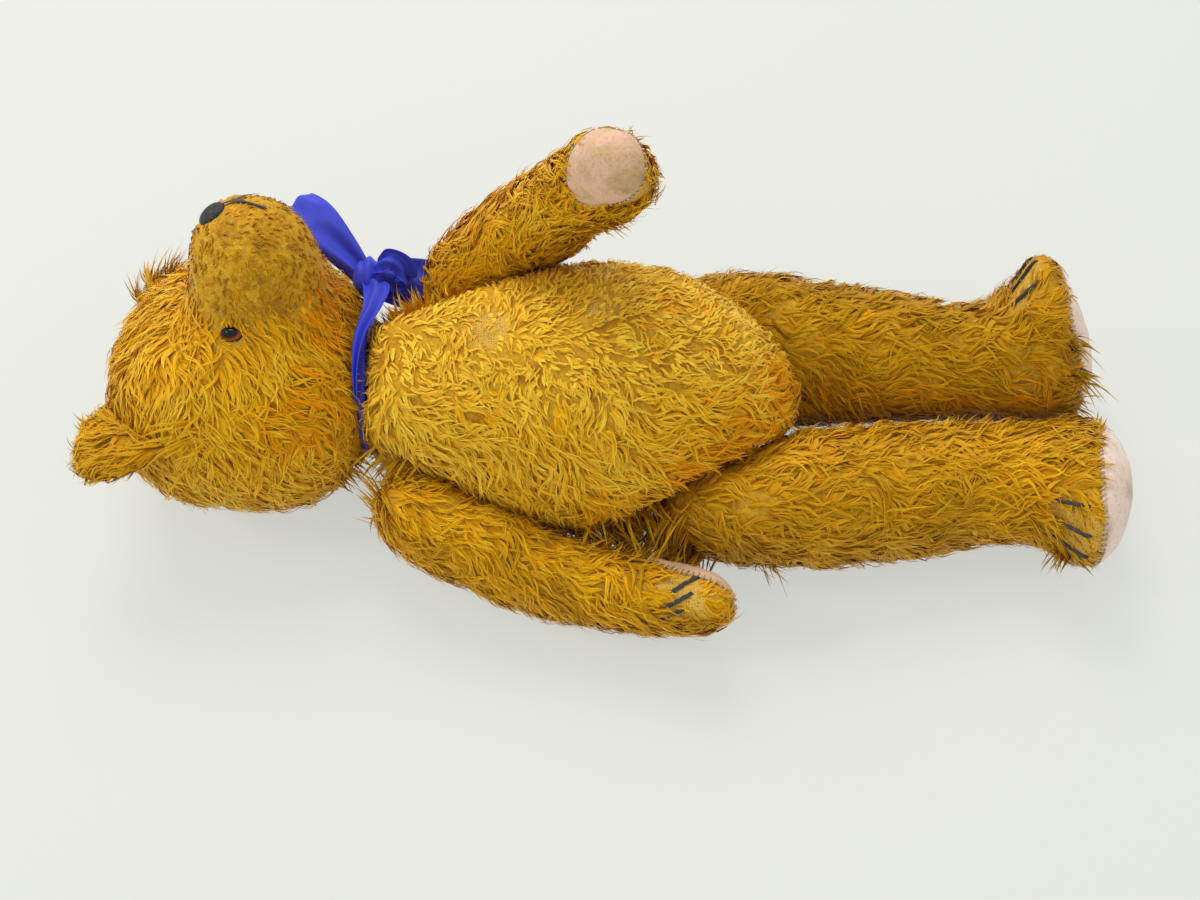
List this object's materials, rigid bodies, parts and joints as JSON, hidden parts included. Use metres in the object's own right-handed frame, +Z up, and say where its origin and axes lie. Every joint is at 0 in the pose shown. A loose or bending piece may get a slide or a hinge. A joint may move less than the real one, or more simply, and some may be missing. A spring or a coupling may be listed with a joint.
{
  "type": "teddy bear",
  "caption": "Old jointed teddy bear of worn golden mohair lying on its back, with a blue satin ribbon tied round the neck",
  "frame": {"origin": "middle of the footprint, on the surface the bear lies on", "axes": "+X towards the feet along the torso, +Y towards the bear's left side, +Z up from its back to its belly"},
  "size_m": [0.5148, 0.2112, 0.2208],
  "materials": {
    "mohair": "woven_cloth",
    "felt": "woven_cloth",
    "black_thread": "woven_cloth",
    "eye_glass": "gloss",
    "ribbon_satin": "satin",
    "hardboard": "matte",
    "steel": "satin"
  },
  "bodies": {
    "torso": {"torso": "mohair", "neck_torso_disc": "hardboard", "neck_torso_washer": "steel", "left_shoulder_torso_disc": "hardboard", "left_shoulder_torso_washer": "steel", "right_shoulder_torso_disc": "hardboard", "right_shoulder_torso_washer": "steel", "left_hip_torso_disc": "hardboard", "left_hip_torso_washer": "steel", "right_hip_torso_disc": "hardboard", "right_hip_torso_washer": "steel", "neck_ribbon": "ribbon_satin"},
    "head": {"head": "mohair", "left_ear": "mohair", "right_ear": "mohair", "left_eye": "eye_glass", "right_eye": "eye_glass", "nose": "black_thread", "mouth_stitch": "black_thread", "neck_limb_disc": "hardboard", "neck_limb_washer": "steel", "neck_pin": "steel"},
    "left_arm": {"left_arm": "mohair", "left_paw_pad": "felt", "left_paw_claw_1": "black_thread", "left_paw_claw_2": "black_thread", "left_paw_claw_3": "black_thread", "left_shoulder_limb_disc": "hardboard", "left_shoulder_limb_washer": "steel", "left_shoulder_pin": "steel"},
    "left_leg": {"left_leg": "mohair", "left_foot_pad": "felt", "left_foot_claw_1": "black_thread", "left_foot_claw_2": "black_thread", "left_foot_claw_3": "black_thread", "left_hip_limb_disc": "hardboard", "left_hip_limb_washer": "steel", "left_hip_pin": "steel"},
    "right_arm": {"right_arm": "mohair", "right_paw_pad": "felt", "right_paw_claw_1": "black_thread", "right_paw_claw_2": "black_thread", "right_paw_claw_3": "black_thread", "right_shoulder_limb_disc": "hardboard", "right_shoulder_limb_washer": "steel", "right_shoulder_pin": "steel"},
    "right_leg": {"right_leg": "mohair", "right_foot_pad": "felt", "right_foot_claw_1": "black_thread", "right_foot_claw_2": "black_thread", "right_foot_claw_3": "black_thread", "right_hip_limb_disc": "hardboard", "right_hip_limb_washer": "steel", "right_hip_pin": "steel"}
  },
  "joints": [
    {"name": "neck_swivel", "type": "hinge", "parent": "torso", "child": "head", "pos_m": [-0.12314, 0.0193, 0.063], "axis": [0.9986, -0.0523, 0], "continuous": true, "deforming": ["neck_ribbon"]},
    {"name": "left_shoulder", "type": "hinge", "parent": "torso", "child": "left_arm", "pos_m": [-0.06808, 0.05727, 0.07948], "axis": [0.3619, -0.8672, -0.3422], "range_deg": [-75, 60]},
    {"name": "right_shoulder", "type": "hinge", "parent": "torso", "child": "right_arm", "pos_m": [-0.08763, -0.02922, 0.04786], "axis": [-0.4123, -0.8645, -0.2875], "range_deg": [-30, 120]},
    {"name": "left_hip", "type": "hinge", "parent": "torso", "child": "left_leg", "pos_m": [0.04993, 0.0353, 0.05289], "axis": [-0.5413, -0.7757, 0.3244], "range_deg": [0, 75]},
    {"name": "right_hip", "type": "hinge", "parent": "torso", "child": "right_leg", "pos_m": [0.05641, -0.01304, 0.04869], "axis": [0.4609, -0.7596, -0.4589], "range_deg": [0, 75]}
  ]
}
